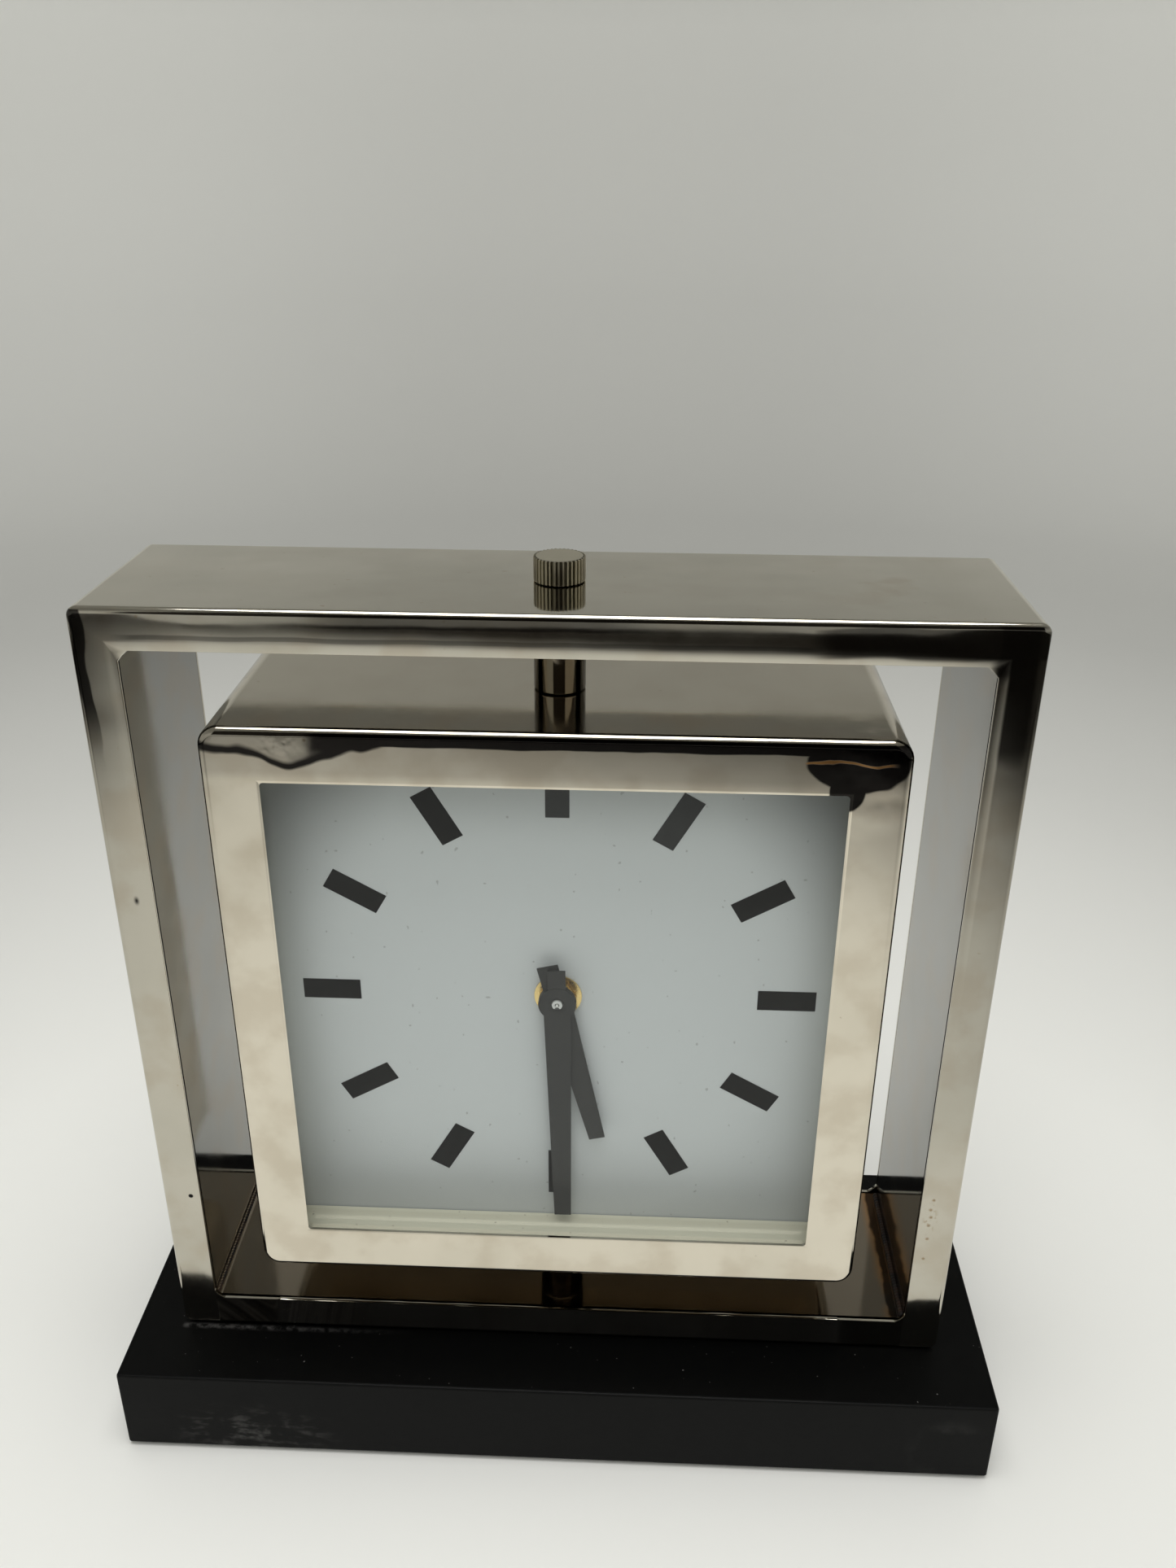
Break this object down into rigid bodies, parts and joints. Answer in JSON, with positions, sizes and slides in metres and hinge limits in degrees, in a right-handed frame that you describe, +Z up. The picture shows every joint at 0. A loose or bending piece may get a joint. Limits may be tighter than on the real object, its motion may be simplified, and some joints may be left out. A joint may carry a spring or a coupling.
{
  "type": "mantel clock",
  "caption": "Square analogue clock in a polished metal case that swivels on an upright axis inside a square metal frame on a black plinth.",
  "frame": {"origin": "on the floor at the centre of the plinth's underside, under the swivel axis", "axes": "+Z up along the swivel axis, dial faces -Y, +X to the right seen from the front"},
  "size_m": [0.286, 0.107, 0.2944],
  "materials": {
    "polished_nickel": "polished, slightly wavy nickel plate",
    "black_lacquer": "satin black lacquer on wood",
    "black_paint": "satin black paint",
    "felt": "black felt",
    "steel": "zinc plated",
    "magnet": "sintered",
    "nylon": "natural nylon",
    "window_glass": "clear",
    "foam_board": "layered board, matt",
    "dial_paint": "printed, matt",
    "wood": "plain softwood",
    "hand_black": "matt black",
    "brass": "bright",
    "black_plastic": "moulded",
    "white_plastic": "moulded",
    "rubber": "matt",
    "circuit_green": "solder mask",
    "copper": "enamelled wire",
    "battery_wrap": "plain wrap"
  },
  "bodies": {
    "stand": {"base_felt": "felt", "base_plinth": "black_lacquer", "frame_shell": "polished_nickel", "frame_liner": "polished_nickel", "frame_screw_left": "steel", "frame_screw_right": "steel", "frame_nut_left": "steel", "frame_nut_right": "steel", "top_bush": "nylon", "bottom_bush": "nylon"},
    "case": {"case_shell": "polished_nickel", "glass_pane": "window_glass", "window_spacer": "foam_board", "dial_plate": "dial_paint", "corner_block_1": "wood", "corner_block_2": "wood", "corner_block_3": "wood", "corner_block_4": "wood", "back_cover": "black_paint", "back_screw_1": "steel", "back_screw_2": "steel", "back_screw_3": "steel", "back_screw_4": "steel", "swivel_knob": "polished_nickel", "top_stud": "steel", "top_sleeve": "polished_nickel", "top_nut": "steel", "bottom_bolt": "steel", "bottom_sleeve": "polished_nickel", "bottom_nut": "steel", "movement_housing": "black_plastic", "movement_cover": "black_plastic", "threaded_bush": "brass", "rubber_washer": "rubber", "brass_washer": "brass", "brass_nut": "brass", "middle_plate": "white_plastic", "circuit_board": "circuit_green", "quartz_crystal": "steel", "coil_winding": "copper", "coil_core": "steel", "stator": "steel", "battery": "battery_wrap", "battery_contact_positive": "steel", "battery_contact_negative": "steel"},
    "minute_works": {"minute_arbor": "white_plastic", "minute_hand": "hand_black"},
    "hour_works": {"hour_wheel": "white_plastic", "hour_hand": "hand_black"},
    "motion_works": {"motion_wheel": "white_plastic"},
    "third_works": {"third_wheel": "white_plastic"},
    "second_works": {"second_wheel": "white_plastic"},
    "intermediate_works": {"intermediate_wheel": "white_plastic"},
    "rotor_works": {"rotor_pinion": "white_plastic", "rotor_magnet": "magnet"},
    "setting_works": {"set_arbor": "white_plastic", "set_knob": "black_plastic"}
  },
  "joints": [
    {"name": "case_swivel", "type": "hinge", "parent": "stand", "child": "case", "pos_m": [0, 0, 0.1603], "axis": [0, 0, 1], "continuous": true},
    {"name": "minute_hand_turn", "type": "hinge", "parent": "case", "child": "minute_works", "pos_m": [0, 0, 0.1603], "axis": [0, 1, 0], "continuous": true},
    {"name": "hour_hand_turn", "type": "hinge", "parent": "case", "child": "hour_works", "pos_m": [0, 0, 0.1603], "axis": [0, 1, 0], "continuous": true},
    {"name": "motion_wheel_turn", "type": "hinge", "parent": "case", "child": "motion_works", "pos_m": [0, 0, 0.1675], "axis": [0, 1, 0], "continuous": true},
    {"name": "third_wheel_turn", "type": "hinge", "parent": "case", "child": "third_works", "pos_m": [-0.009, 0, 0.1603], "axis": [0, 1, 0], "continuous": true},
    {"name": "second_wheel_turn", "type": "hinge", "parent": "case", "child": "second_works", "pos_m": [0, 0, 0.1603], "axis": [0, 1, 0], "continuous": true},
    {"name": "intermediate_wheel_turn", "type": "hinge", "parent": "case", "child": "intermediate_works", "pos_m": [0.00572, 0, 0.1636], "axis": [0, 1, 0], "continuous": true},
    {"name": "rotor_turn", "type": "hinge", "parent": "case", "child": "rotor_works", "pos_m": [0.01167, 0, 0.16201], "axis": [0, 1, 0], "continuous": true},
    {"name": "set_knob_turn", "type": "hinge", "parent": "case", "child": "setting_works", "pos_m": [-0.00624, 0, 0.1711], "axis": [0, 1, 0], "continuous": true}
  ],
  "couplings": [
    {"joint": "motion_wheel_turn", "follows": "minute_hand_turn", "ratio": -0.33333},
    {"joint": "hour_hand_turn", "follows": "minute_hand_turn", "ratio": 0.083333},
    {"joint": "set_knob_turn", "follows": "minute_hand_turn", "ratio": 1},
    {"joint": "third_wheel_turn", "follows": "minute_hand_turn", "ratio": -8},
    {"joint": "second_wheel_turn", "follows": "minute_hand_turn", "ratio": 60},
    {"joint": "intermediate_wheel_turn", "follows": "minute_hand_turn", "ratio": -300},
    {"joint": "rotor_turn", "follows": "minute_hand_turn", "ratio": 1800}
  ]
}
